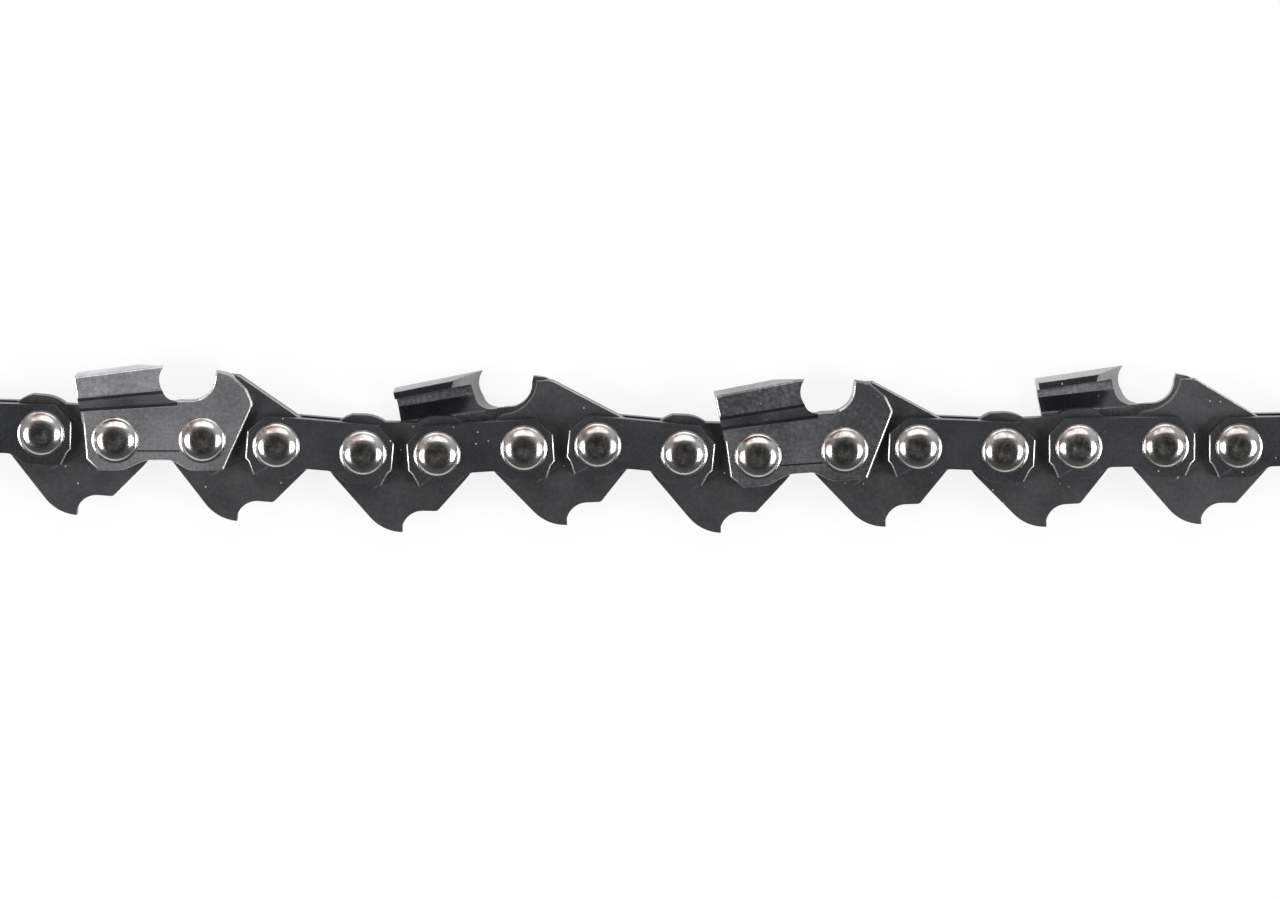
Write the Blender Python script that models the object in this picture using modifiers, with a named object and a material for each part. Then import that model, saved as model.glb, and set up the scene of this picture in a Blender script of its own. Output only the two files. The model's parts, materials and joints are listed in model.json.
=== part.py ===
"""A stretch of low-kickback saw chain, .325 inch pitch, lying on its left side.

The chain runs along +X, its cutters point to +Y and its rivets stand along Z. Eight drive links hang
between nine stations of side pieces: pairs of tie straps, and four cutters on alternate sides, each
with a tie strap facing it. Sixteen stepped rivets join them. The origin is the middle of the fifth
station, in the chain's middle plane. Every link hangs from an empty on its rivet's axis, so turning
an empty swings the rest of the chain.
"""
import math

import bmesh
import bpy
from mathutils import Matrix, Vector

# Chain, in metres. Three rivets in a row span two pitches.
PITCH = 0.008255
STRAP_SPACING = 0.008925
LINK_THICKNESS = 0.0016
PLATE_THICKNESS = 0.0013
SIDE_CLEARANCE = 0.00007
SEAT_GAP = 0.00002
RUNNING_CLEARANCE = 0.00004

# Rivet: a flange in the drive link, a hub through each side piece and a spun head on each end
FLANGE_RADIUS = 0.0025
HUB_RADIUS = 0.0018
HEAD_RADIUS = 0.0024
HEAD_HEIGHT = 0.00075
HEAD_RIM = 0.00018
HEAD_SHOULDER_DROP = 0.00019
CROWN_RADIUS = 0.00125
DIMPLE_DEPTH = 0.0001
ROUND_STEPS = 16

# Tie strap, measured from its rivets. Neighbours' ends are a gap apart
STRAP_GAP = 0.0014
STRAP_TOP = 0.003
STRAP_FOOT = 0.0032
STRAP_WAIST = 0.00213
SHOULDER_WIDTH = 0.00175
SHOULDER_DROP = 0.0017
END_EDGE_LOW = 0.0015
END_STEP = 0.0004
TOE = 0.0021
FOOT_LENGTH = 0.0033
FOOT_RISE = 0.0023

# Drive link: a lobe round each rivet and a tang that runs in the bar's groove
LOBE_RADIUS = 0.004
LOBE_TOP = 0.0038
VALLEY_HEIGHT = 0.0031
REAR_SLOPE = math.radians(48)
FRONT_SLOPE = math.radians(49.3)
TANG_DEPTH = 0.0083
TANG_SHOULDER = 0.00605
TANG_TOE_RADIUS = 0.0045
TANG_TIP_EDGE = 0.0007
HOOK_RADIUS = 0.00215
TANG_HEEL_ROUND = 0.0005

# Bumper drive link: a ramp that rises beside the depth gauge of the cutter behind it
BUMPER_HEIGHT = 0.00675
BUMPER_BACK = 0.0016
BUMPER_TOP_LENGTH = 0.0016
BUMPER_BACK_RADIUS = 0.0036
RAMP_END = math.radians(35)
BUMPER_FOOT = math.radians(120)

# Cutter: a base plate with a depth gauge, and a tooth bent outward, up and over the chain
CUTTER_REACH = 0.0036
TIP_HEIGHT = 0.0078
TIP_AHEAD = 0.00525
HEEL_HEIGHT = 0.0066
SIDE_RELIEF = math.radians(1.5)
TOP_PLATE_WIDTH = 0.0047
TOP_PLATE_THICKNESS = 0.0011
TOP_EDGE_THICKNESS = 0.0007
CORNER_ROUND = 0.0003
KICK_ROUND = 0.0009
HEEL_OVERHANG = 0.00405
HEEL_ROOT = 0.00352
HEEL_FOOT_BACK = 0.0001
HEEL_FOOT_DROP = 0.002
KICK_HEEL = 0.003
KICK_FRONT = 0.0036
KICK_SHARE_HEEL = 0.36
KICK_SHARE_FRONT = 0.39
KICK_BEND = 0.00035
BEND_OVERLAP = 0.00015
ROOT_AHEAD = 0.0064
FILE_RADIUS = 0.0024
FILE_ANGLE = math.radians(30)
FILE_SHARE_ABOVE = 0.2
FILE_BITE = 0.0001
FILE_STEPS = 40
GULLET_CORNER = 0.0019
GAUGE_DROP = 0.0007
GAUGE_BACK = 0.0015
GAUGE_TOP = 0.0013
NOSE_CLEARANCE = 0.001
GAUGE_NOSE_HEIGHT = 0.00365
GAUGE_TOP_ROUND = 0.0012
GAUGE_NOSE_ROUND = 0.0006
CUTTER_TOE = 0.00212
CUTTER_FOOT_LENGTH = 0.002
CUTTER_TOE_LENGTH = 0.001
CUTTER_WAIST_LENGTH = 0.0017

# No fillet uses up more than this share of the edges that it joins
FILLET_SHARE = 0.45

# How the chain lies: each piece's heading in degrees, from the rear station to the front one
STATION_HEADINGS = (-1.7, 0.0, -5.0, 3.9, -5.4, 3.9, -2.3, 0.8, 1.0)
LINK_HEADINGS = (-4.7, -4.8, -0.9, 2.5, -1.8, 2.0, 3.0, -0.5)
RIGHT_CUTTERS = (1, 5)
LEFT_CUTTERS = (3, 7)
BUMPER_LINKS = (2, 4, 6, 8)

# What follows from them
LINK_SPACING = 2 * PITCH - STRAP_SPACING
STRAP_END = (LINK_SPACING - STRAP_GAP) / 2
HEEL_FOOT = STRAP_END - HEEL_FOOT_BACK
GAUGE_NOSE = LINK_SPACING - STRAP_END + SHOULDER_WIDTH - NOSE_CLEARANCE
STRAP_INNER = LINK_THICKNESS / 2 + SIDE_CLEARANCE
STRAP_OUTER = STRAP_INNER + PLATE_THICKNESS
STRAP_MIDDLE = (STRAP_INNER + STRAP_OUTER) / 2
TOOTH_THICKNESS = PLATE_THICKNESS - 2 * SEAT_GAP
HEAD_SEAT = STRAP_OUTER + SEAT_GAP
HEAD_TOP = HEAD_SEAT + HEAD_HEIGHT
FLANGE_HALF = STRAP_INNER - SEAT_GAP
STRAP_HOLE = HUB_RADIUS + SEAT_GAP
FACET_REACH = math.cos(math.pi / ROUND_STEPS)
LINK_HOLE = (FLANGE_RADIUS + RUNNING_CLEARANCE) / FACET_REACH
FILE_CENTRE = TIP_HEIGHT + (2 * FILE_SHARE_ABOVE - 1) * FILE_RADIUS
GULLET_FLOOR = FILE_CENTRE - FILE_RADIUS + FILE_BITE
WELD = 1e-7


def start_empty():
    """Clear the scene and make one collection for the chain and one for the helper shapes."""
    for thing in list(bpy.data.objects):
        bpy.data.objects.remove(thing, do_unlink=True)
    made = []
    for name in ("saw_chain", "cutting_tools"):
        collection = bpy.data.collections.new(name)
        bpy.context.scene.collection.children.link(collection)
        made.append(collection)
    return made


chain, helpers = start_empty()


def material(name, colour, roughness):
    made = bpy.data.materials.new(name)
    made.use_nodes = True
    shader = made.node_tree.nodes["Principled BSDF"]
    shader.inputs["Base Color"].default_value = (*colour, 1.0)
    shader.inputs["Roughness"].default_value = roughness
    shader.inputs["Metallic"].default_value = 1.0
    made.diffuse_color = (*colour, 1.0)
    return made


# Outlines

def arc(centre, radius, start, end, steps):
    """Points on an arc from one angle to another, both ends included."""
    angles = [start + (end - start) * i / steps for i in range(steps + 1)]
    return [(centre[0] + radius * math.cos(a), centre[1] + radius * math.sin(a)) for a in angles]


def arc_between(start, end, radius, steps):
    """A clockwise arc of a given radius between two points."""
    a, b = Vector(start), Vector(end)
    half = (b - a) / 2
    side = Vector((half.y, -half.x)).normalized()
    centre = a + half + side * math.sqrt(max(radius ** 2 - half.length_squared, 0.0))
    first, last = a - centre, b - centre
    begin = math.atan2(first.y, first.x)
    sweep = (begin - math.atan2(last.y, last.x)) % math.tau
    return arc(centre, first.length, begin, begin - sweep, steps)


def ease(start, end, steps):
    """A smooth rise between two points that leaves and arrives level."""
    points = []
    for i in range(steps + 1):
        share = i / steps
        lift = (1 - math.cos(math.pi * share)) / 2
        points.append((start[0] + (end[0] - start[0]) * share, start[1] + (end[1] - start[1]) * lift))
    return points


def rounded(before, corner, after, radius, steps):
    """The corner of an outline turned into a fillet between its two neighbours."""
    here = Vector(corner)
    back, ahead = Vector(before) - here, Vector(after) - here
    angle = back.angle(ahead)
    room = FILLET_SHARE * min(back.length, ahead.length)
    reach = min(radius / math.tan(angle / 2), room)
    start, end = here + back.normalized() * reach, here + ahead.normalized() * reach
    points = []
    for i in range(steps + 1):
        share = i / steps
        points.append(tuple(start.lerp(here, share).lerp(here.lerp(end, share), share)))
    return points


def rivet_hole(centre_x, radius):
    """A hole whose facets stand in line with the rivet's own."""
    return arc((centre_x, 0.0), radius, 0.0, math.tau * (1 - 1 / ROUND_STEPS), ROUND_STEPS - 1)


def strap_outline():
    """Half a tie strap, from its shoulder round its end and foot to its waist, and its mirror."""
    foot_end = FOOT_LENGTH - TOE
    half = [
        (SHOULDER_WIDTH - STRAP_END, STRAP_TOP),
        (-STRAP_END, STRAP_TOP - SHOULDER_DROP),
        (-STRAP_END, -END_EDGE_LOW),
        (END_STEP - STRAP_END, -END_EDGE_LOW - END_STEP),
        (-TOE, -STRAP_FOOT),
    ]
    half += ease((foot_end, -STRAP_FOOT), (foot_end + FOOT_RISE, -STRAP_WAIST), 4)
    return half + [(STRAP_SPACING - x, y) for x, y in reversed(half)]


def tang_outline():
    """The drive link below its lobes: rear slope, toe, hooked tip, shoulder and front slope."""
    level = TANG_TOE_RADIUS - TANG_DEPTH
    tip = (TANG_TOE_RADIUS - LOBE_RADIUS - level * math.cos(REAR_SLOPE)) / math.sin(REAR_SLOPE)
    toe = arc((tip, level), TANG_TOE_RADIUS, 1.5 * math.pi - REAR_SLOPE, 1.5 * math.pi, 5)
    hook_level = -TANG_SHOULDER - HOOK_RADIUS
    rise = TANG_TIP_EDGE - TANG_DEPTH - hook_level
    hook_centre = (tip + math.sqrt(HOOK_RADIUS ** 2 - rise ** 2), hook_level)
    hook = arc(hook_centre, HOOK_RADIUS, math.pi - math.asin(rise / HOOK_RADIUS), math.pi / 2, 5)
    heel_x = LINK_SPACING + (LOBE_RADIUS - TANG_SHOULDER * math.cos(FRONT_SLOPE)) / math.sin(FRONT_SLOPE)
    heel = rounded(hook[-1], (heel_x, -TANG_SHOULDER), front_lobe(0.0, 1)[0], TANG_HEEL_ROUND, 2)
    return toe + hook + heel


def front_lobe(top_angle, steps):
    """The arc round the front rivet, from the front slope up to the angle given."""
    return arc((LINK_SPACING, 0.0), LOBE_RADIUS, FRONT_SLOPE - math.pi / 2, top_angle, steps)


def rear_lobe(top_angle, steps):
    """The arc round the rear rivet, from the angle given down to the rear slope."""
    return arc((0.0, 0.0), LOBE_RADIUS, top_angle, 1.5 * math.pi - REAR_SLOPE, steps)


def link_outline():
    """A plain drive link: two lobes with levelled tops and a straight valley between them."""
    crest = math.asin(LOBE_TOP / LOBE_RADIUS)
    valley = math.asin(VALLEY_HEIGHT / LOBE_TOP)
    front = front_lobe(crest, 6) + arc((LINK_SPACING, 0.0), LOBE_TOP, math.pi / 2, math.pi - valley, 3)
    rear = arc((0.0, 0.0), LOBE_TOP, valley, math.pi / 2, 3) + rear_lobe(math.pi - crest, 6)
    return tang_outline() + front + rear


def bumper_outline():
    """A bumper drive link: a straight ramp up to a short level top and a hollow back edge."""
    rear = rear_lobe(BUMPER_FOOT, 6)
    top_front = (BUMPER_BACK + BUMPER_TOP_LENGTH, BUMPER_HEIGHT)
    top_rear = (BUMPER_BACK, BUMPER_HEIGHT)
    back = arc_between(top_rear, rear[0], BUMPER_BACK_RADIUS, 6)
    return tang_outline() + front_lobe(RAMP_END, 6) + [top_front] + back[:-1] + rear


def top_height(ahead):
    """The top plate's height at a place along the chain: it falls from the tip to the heel."""
    return HEEL_HEIGHT + (TIP_HEIGHT - HEEL_HEIGHT) * (ahead + HEEL_OVERHANG) / (TIP_AHEAD + HEEL_OVERHANG)


def heel_x(height):
    """Where the tooth's leaning heel edge stands at a height."""
    lean = (HEEL_OVERHANG - HEEL_ROOT) / (HEEL_HEIGHT - KICK_HEEL)
    return -HEEL_ROOT - lean * (height - KICK_HEEL)


def cutter_base_outline():
    """The cutter's flat plate: heel, foot, waist, toe, depth gauge and gullet floor."""
    waist_start = (STRAP_SPACING - CUTTER_WAIST_LENGTH) / 2
    waist_end = waist_start + CUTTER_WAIST_LENGTH
    foot_start = -HEEL_FOOT + STRAP_FOOT - HEEL_FOOT_DROP
    toe = (STRAP_SPACING + CUTTER_TOE, -STRAP_FOOT)
    nose = (STRAP_SPACING + GAUGE_NOSE, GAUGE_NOSE_HEIGHT)
    gauge_height = TIP_HEIGHT - GAUGE_DROP
    top_front = (STRAP_SPACING + GAUGE_BACK + GAUGE_TOP, gauge_height)
    top_rear = (STRAP_SPACING + GAUGE_BACK, gauge_height)
    gullet_front = (STRAP_SPACING + GAUGE_BACK, GULLET_FLOOR)
    gullet_rear = (TIP_AHEAD, GULLET_FLOOR)
    heel_top = KICK_HEEL + BEND_OVERLAP
    outline = [(heel_x(heel_top) + BEND_OVERLAP, heel_top), (-HEEL_FOOT, -HEEL_FOOT_DROP)]
    outline += [(foot_start, -STRAP_FOOT)]
    outline += ease((foot_start + CUTTER_FOOT_LENGTH, -STRAP_FOOT), (waist_start, -STRAP_WAIST), 4)
    outline += ease((waist_end, -STRAP_WAIST), (STRAP_SPACING - CUTTER_TOE_LENGTH, -STRAP_FOOT), 4)
    outline += [toe]
    outline += rounded(toe, nose, top_front, GAUGE_NOSE_ROUND, 3)
    outline += rounded(nose, top_front, top_rear, GAUGE_TOP_ROUND, 4)
    outline += [top_rear]
    outline += rounded(top_rear, gullet_front, gullet_rear, GULLET_CORNER, 6)
    return outline + [gullet_rear, (TIP_AHEAD, KICK_FRONT + BEND_OVERLAP)]


# Meshes

def bake(thing):
    """The finished shape of a helper object as one plain welded mesh; the object is removed."""
    bpy.context.view_layer.update()
    graph = bpy.context.evaluated_depsgraph_get()
    mesh = bpy.data.meshes.new_from_object(thing.evaluated_get(graph))
    mesh.transform(thing.matrix_world)
    bpy.data.objects.remove(thing, do_unlink=True)
    shape = bmesh.new()
    shape.from_mesh(mesh)
    bmesh.ops.remove_doubles(shape, verts=shape.verts, dist=WELD)
    bmesh.ops.recalc_face_normals(shape, faces=shape.faces)
    shape.to_mesh(mesh)
    shape.free()
    return mesh


def helper(name, data):
    """A shape that only cuts, joins or is baked."""
    thing = bpy.data.objects.new(name, data)
    thing.display_type = "WIRE"
    thing.hide_render = True
    helpers.objects.link(thing)
    return thing


def plate_mesh(name, loops, thickness, middle):
    """A flat stamping: a filled outline with its holes, centred on the height given."""
    curve = bpy.data.curves.new(name, "CURVE")
    curve.dimensions = "2D"
    curve.fill_mode = "BOTH"
    curve.extrude = thickness / 2
    for loop in loops:
        spline = curve.splines.new("POLY")
        spline.points.add(len(loop) - 1)
        for point, (x, y) in zip(spline.points, loop):
            point.co = (x, y, 0.0, 1.0)
        spline.use_cyclic_u = True
    thing = helper(name, curve)
    thing.location.z = middle
    return bake(thing)


def finish(mesh, name, surface, crease):
    """Name, material and smooth shading with sharp edges above the angle given."""
    mesh.name = name
    mesh.materials.clear()
    mesh.materials.append(surface)
    mesh.shade_smooth()
    mesh.set_sharp_from_angle(angle=crease)
    return mesh


def combined(mesh, other, operation):
    """Two closed meshes joined, or the second cut out of the first."""
    thing, tool = helper("kept", mesh), helper("tool", other)
    change = thing.modifiers.new(operation.lower(), "BOOLEAN")
    change.operation = operation
    change.solver = "EXACT"
    change.object = tool
    result = bake(thing)
    bpy.data.objects.remove(tool, do_unlink=True)
    return result


def rivet_mesh():
    """A turned pin: crown with a dimple, domed head, hub, flange, and the same again below."""
    upper = [
        (0.0, HEAD_TOP - DIMPLE_DEPTH),
        (CROWN_RADIUS, HEAD_TOP),
        ((HEAD_RADIUS + CROWN_RADIUS) / 2, HEAD_TOP - HEAD_SHOULDER_DROP),
        (HEAD_RADIUS, HEAD_SEAT + HEAD_RIM),
        (HEAD_RADIUS, HEAD_SEAT),
        (HUB_RADIUS, HEAD_SEAT),
        (HUB_RADIUS, FLANGE_HALF),
        (FLANGE_RADIUS, FLANGE_HALF),
    ]
    profile = upper + [(r, -z) for r, z in reversed(upper)]
    mesh = bpy.data.meshes.new("rivet_profile")
    edges = [(i, i + 1) for i in range(len(profile) - 1)]
    mesh.from_pydata([(r, 0.0, z) for r, z in profile], edges, [])
    thing = helper("rivet_profile", mesh)
    turn = thing.modifiers.new("turn", "SCREW")
    turn.steps = ROUND_STEPS
    turn.render_steps = ROUND_STEPS
    turn.use_merge_vertices = True
    turn.merge_threshold = WELD
    return bake(thing)


def tooth_section(ahead, kick, kick_share):
    """The bent plate's section at one place along the chain, as a closed loop of (side, height)."""
    top = top_height(ahead)
    side = CUTTER_REACH - (TIP_AHEAD - ahead) * math.tan(SIDE_RELIEF)
    edge = side - TOP_PLATE_WIDTH
    bend_top = kick + kick_share * (top - kick)
    root = (STRAP_OUTER - SEAT_GAP, kick - PLATE_THICKNESS)
    low, high, corner = (STRAP_OUTER - SEAT_GAP, kick), (side, bend_top), (side, top)
    outer = [root] + rounded(root, low, high, KICK_ROUND, 2) + rounded(low, high, corner, KICK_ROUND, 2)
    outer += rounded(high, corner, (edge, top), CORNER_ROUND, 2)
    inner = [
        (edge, top - TOP_EDGE_THICKNESS),
        (side - TOOTH_THICKNESS, top - TOP_PLATE_THICKNESS),
        (side - TOOTH_THICKNESS, bend_top + KICK_BEND),
        (STRAP_INNER + SEAT_GAP, kick + KICK_BEND),
        (STRAP_INNER + SEAT_GAP, kick - PLATE_THICKNESS),
    ]
    return outer + [(edge, top)] + inner


def tooth_mesh():
    """The tooth before filing: the bent section lofted from the heel to past the cutting edge."""
    heel = [(heel_x(y), y, z) for z, y in tooth_section(-HEEL_OVERHANG, KICK_HEEL, KICK_SHARE_HEEL)]
    front = [(ROOT_AHEAD, y, z) for z, y in tooth_section(ROOT_AHEAD, KICK_FRONT, KICK_SHARE_FRONT)]
    mesh = bpy.data.meshes.new("tooth_blank")
    shape = bmesh.new()
    rows = [[shape.verts.new(point) for point in row] for row in (heel, front)]
    for i in range(len(heel)):
        after = (i + 1) % len(heel)
        shape.faces.new((rows[0][i], rows[1][i], rows[1][after], rows[0][after]))
    shape.faces.new(rows[0])
    shape.faces.new(rows[1])
    bmesh.ops.recalc_face_normals(shape, faces=shape.faces)
    bmesh.ops.triangulate(shape, faces=shape.faces)
    shape.to_mesh(mesh)
    shape.free()
    return mesh


def file_mesh():
    """The round file, laid across the gullet at the top plate's filing angle."""
    shape = bmesh.new()
    length = 4 * (CUTTER_REACH + TOP_PLATE_WIDTH)
    bmesh.ops.create_cone(
        shape, cap_ends=True, segments=FILE_STEPS, radius1=FILE_RADIUS, radius2=FILE_RADIUS,
        depth=length,
    )
    rise = (TIP_HEIGHT - FILE_CENTRE) / FILE_RADIUS
    half_width = FILE_RADIUS * math.sqrt(1 - rise ** 2) / math.cos(FILE_ANGLE)
    place = Matrix.Translation((TIP_AHEAD + half_width, FILE_CENTRE, CUTTER_REACH))
    bmesh.ops.transform(shape, matrix=place @ Matrix.Rotation(FILE_ANGLE, 4, "Y"), verts=shape.verts)
    mesh = bpy.data.meshes.new("round_file")
    shape.to_mesh(mesh)
    shape.free()
    return mesh


def cutter_mesh():
    """A right-hand cutter: base plate and bent tooth as one stamping, then filed."""
    loops = [cutter_base_outline(), rivet_hole(0.0, STRAP_HOLE), rivet_hole(STRAP_SPACING, STRAP_HOLE)]
    base = plate_mesh("cutter_base", loops, PLATE_THICKNESS, STRAP_MIDDLE)
    blank = combined(base, tooth_mesh(), "UNION")
    return combined(blank, file_mesh(), "DIFFERENCE")


def mirrored(mesh, name):
    """The same stamping for the other side of the chain."""
    shape = bmesh.new()
    shape.from_mesh(mesh)
    bmesh.ops.scale(shape, vec=(1.0, 1.0, -1.0), verts=shape.verts)
    bmesh.ops.reverse_faces(shape, faces=shape.faces)
    other = bpy.data.meshes.new(name)
    shape.to_mesh(other)
    shape.free()
    return other


def all_meshes():
    blued = material("blued_link_steel", (0.045, 0.047, 0.054), 0.38)
    strap_steel = material("blued_strap_steel", (0.040, 0.042, 0.048), 0.36)
    plated = material("plated_cutter_steel", (0.17, 0.175, 0.19), 0.34)
    polished = material("spun_rivet_steel", (0.42, 0.41, 0.41), 0.22)
    flat, round_edge = math.radians(20), math.radians(35)
    strap_holes = [rivet_hole(0.0, STRAP_HOLE), rivet_hole(STRAP_SPACING, STRAP_HOLE)]
    link_holes = [rivet_hole(0.0, LINK_HOLE), rivet_hole(LINK_SPACING, LINK_HOLE)]
    right_strap = plate_mesh("tie_strap", [strap_outline()] + strap_holes, PLATE_THICKNESS, STRAP_MIDDLE)
    link = plate_mesh("drive_link", [link_outline()] + link_holes, LINK_THICKNESS, 0.0)
    bumper = plate_mesh("bumper_link", [bumper_outline()] + link_holes, LINK_THICKNESS, 0.0)
    cutter = cutter_mesh()
    return {
        "right_tie_strap": finish(right_strap, "right_tie_strap", strap_steel, flat),
        "left_tie_strap": finish(mirrored(right_strap, "left"), "left_tie_strap", strap_steel, flat),
        "drive_link": finish(link, "drive_link", blued, flat),
        "bumper_drive_link": finish(bumper, "bumper_drive_link", blued, flat),
        "right_cutter": finish(cutter, "right_cutter", plated, round_edge),
        "left_cutter": finish(mirrored(cutter, "left"), "left_cutter", plated, round_edge),
        "rivet": finish(rivet_mesh(), "rivet", polished, round_edge),
    }


# Assembly

def pivot(name, parent, along, heading):
    """An empty on a rivet's axis, turned by a heading in degrees against its parent."""
    made = bpy.data.objects.new(name, None)
    made.empty_display_size = HEAD_RADIUS
    chain.objects.link(made)
    made.parent = parent
    made.location.x = along
    made.rotation_euler.z = math.radians(heading)
    return made


def hang(name, mesh, parent, along):
    """A piece of the chain, its rear rivet at a place along its parent."""
    made = bpy.data.objects.new(name, mesh)
    chain.objects.link(made)
    made.parent = parent
    made.location.x = along
    return made


def fill_station(number, parent, rear, meshes):
    """The two side pieces of a station and the rivets that are spun tight in them."""
    right = "right_cutter" if number in RIGHT_CUTTERS else "right_tie_strap"
    left = "left_cutter" if number in LEFT_CUTTERS else "left_tie_strap"
    for kind in (right, left):
        hang(f"{kind}_{number}", meshes[kind], parent, rear)
    if number > 0:
        hang(f"rivet_{2 * number:02d}", meshes["rivet"], parent, rear)
    if number < len(LINK_HEADINGS):
        hang(f"rivet_{2 * number + 1:02d}", meshes["rivet"], parent, rear + STRAP_SPACING)


def fill_link(number, parent, rear, meshes):
    kind = "bumper_drive_link" if number in BUMPER_LINKS else "drive_link"
    hang(f"{kind}_{number}", meshes[kind], parent, rear)


def assemble():
    meshes = all_meshes()
    middle = len(STATION_HEADINGS) // 2
    root = pivot("middle_station", None, 0.0, STATION_HEADINGS[middle])
    fill_station(middle, root, -STRAP_SPACING / 2, meshes)

    # Forward of the middle, each piece hangs from the rivet behind it
    parent, along, heading = root, STRAP_SPACING / 2, STATION_HEADINGS[middle]
    for number in range(middle + 1, len(STATION_HEADINGS)):
        link_heading, next_heading = LINK_HEADINGS[number - 1], STATION_HEADINGS[number]
        parent = pivot(f"link_{number}_pivot", parent, along, link_heading - heading)
        fill_link(number, parent, 0.0, meshes)
        parent = pivot(f"station_{number}_pivot", parent, LINK_SPACING, next_heading - link_heading)
        fill_station(number, parent, 0.0, meshes)
        along, heading = STRAP_SPACING, next_heading

    # Behind the middle, each piece hangs from the rivet ahead of it
    parent, along, heading = root, -STRAP_SPACING / 2, STATION_HEADINGS[middle]
    for number in range(middle, 0, -1):
        link_heading, next_heading = LINK_HEADINGS[number - 1], STATION_HEADINGS[number - 1]
        parent = pivot(f"link_{number}_pivot", parent, along, link_heading - heading)
        fill_link(number, parent, -LINK_SPACING, meshes)
        parent = pivot(f"station_{number - 1}_pivot", parent, -LINK_SPACING, next_heading - link_heading)
        fill_station(number - 1, parent, -STRAP_SPACING, meshes)
        along, heading = -STRAP_SPACING, next_heading


assemble()
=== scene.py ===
# %% [markdown]
# # A stretch of saw chain
#
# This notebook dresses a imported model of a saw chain: drive links that hang between tie straps, cutters
# on alternate sides, and the rivets that hold them. The model underneath already has the right sizes and
# the right joints. Here each kind of piece is modelled again with finer edges, once, and then copied to
# every place where the chain has it.

# %% Load the model that everything is fitted to
import json
import math

import bpy
from mathutils import Matrix, Vector


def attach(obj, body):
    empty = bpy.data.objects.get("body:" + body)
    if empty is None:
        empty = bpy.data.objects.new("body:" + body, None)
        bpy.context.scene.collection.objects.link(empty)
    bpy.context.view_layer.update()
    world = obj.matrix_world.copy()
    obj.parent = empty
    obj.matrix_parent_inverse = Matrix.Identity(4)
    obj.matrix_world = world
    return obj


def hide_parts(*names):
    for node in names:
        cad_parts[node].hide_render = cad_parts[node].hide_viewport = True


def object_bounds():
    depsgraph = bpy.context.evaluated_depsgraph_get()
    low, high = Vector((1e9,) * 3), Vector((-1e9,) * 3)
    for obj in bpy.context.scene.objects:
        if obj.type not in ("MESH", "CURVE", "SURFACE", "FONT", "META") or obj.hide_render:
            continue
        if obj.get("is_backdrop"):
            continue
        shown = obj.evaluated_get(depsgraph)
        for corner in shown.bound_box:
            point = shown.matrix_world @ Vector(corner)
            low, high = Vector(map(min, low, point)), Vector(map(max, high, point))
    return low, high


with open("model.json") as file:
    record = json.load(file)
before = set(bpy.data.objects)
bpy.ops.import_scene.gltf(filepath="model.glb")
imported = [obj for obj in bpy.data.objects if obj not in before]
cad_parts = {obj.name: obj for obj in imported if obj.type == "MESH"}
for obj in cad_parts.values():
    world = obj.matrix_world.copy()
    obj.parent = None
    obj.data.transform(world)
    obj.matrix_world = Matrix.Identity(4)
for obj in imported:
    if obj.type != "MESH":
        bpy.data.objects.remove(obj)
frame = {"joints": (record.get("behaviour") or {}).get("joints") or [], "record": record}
cad_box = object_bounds()
scene = bpy.context.scene
mm = 0.001

# %% [markdown]
# ## Where the rivets are
#
# A chain is easy to place, because every piece runs from one rivet to the next. The joints of the model
# give the rivets' places, so nothing is measured by eye here. The first and the last station have only
# one rivet each, so their headings are named.

# %% Rivets, and the place and heading of every piece
STRAP_SPACING = 8.925 * mm
LINK_SPACING = 7.585 * mm
END_HEADINGS = {0: -1.7, 8: 1.0}
rivets = {int(joint["name"][-2:]): Vector(joint["pos_m"]) for joint in frame["joints"]}


def along(rear, heading):
    """The move that carries a piece from the origin to its rear rivet, turned to its heading."""
    return Matrix.Translation(rear) @ Matrix.Rotation(heading, 4, "Z")


def link_place(number):
    rear, front = rivets[2 * number - 1], rivets[2 * number]
    return along(rear, math.atan2(front.y - rear.y, front.x - rear.x))


def station_place(number):
    if number in END_HEADINGS:
        heading = math.radians(END_HEADINGS[number])
        back = Matrix.Rotation(heading, 4, "Z") @ Vector((STRAP_SPACING, 0, 0))
        return along(rivets[1] - back if number == 0 else rivets[16], heading)
    rear, front = rivets[2 * number], rivets[2 * number + 1]
    return along(rear, math.atan2(front.y - rear.y, front.x - rear.x))


print("rivets", len(rivets), "first at", [round(v / mm, 1) for v in rivets[1]], "mm")

# %% [markdown]
# ## Camera, floor and light
#
# The chain lies on its side on white card, and the camera looks almost straight down at it from half a
# metre away, leaning 7.3 degrees toward the cutters, so that their top plates just show. A long lens at
# that distance keeps the links even in size from one end of the picture to the other.

# %% Camera
LEAN = math.radians(7.3)
TO_THE_LEFT = math.radians(1.0)
DISTANCE = 0.5
SENSOR = 36 * mm
PIXELS_ACROSS = 1280
PIXELS_PER_METRE = 9758
aim = Vector((-0.12 * mm, 0.06 * mm, 2.9 * mm))
back = Vector((-math.tan(TO_THE_LEFT), math.tan(LEAN), 1)).normalized()

camera = bpy.data.objects.new("camera", bpy.data.cameras.new("camera"))
scene.collection.objects.link(camera)
camera.location = aim + back * DISTANCE
across = (Vector((1, 0, 0)) - back * back.x).normalized()
camera.rotation_euler = Matrix((across, back.cross(across), back)).transposed().to_euler()
camera.data.sensor_width = SENSOR / mm
camera.data.lens = SENSOR / mm * DISTANCE / (PIXELS_ACROSS / PIXELS_PER_METRE)
camera.data.clip_start = 0.01
scene.camera = camera
scene.view_settings.view_transform = "Standard"
print("lens", round(camera.data.lens, 1), "mm")

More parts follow.
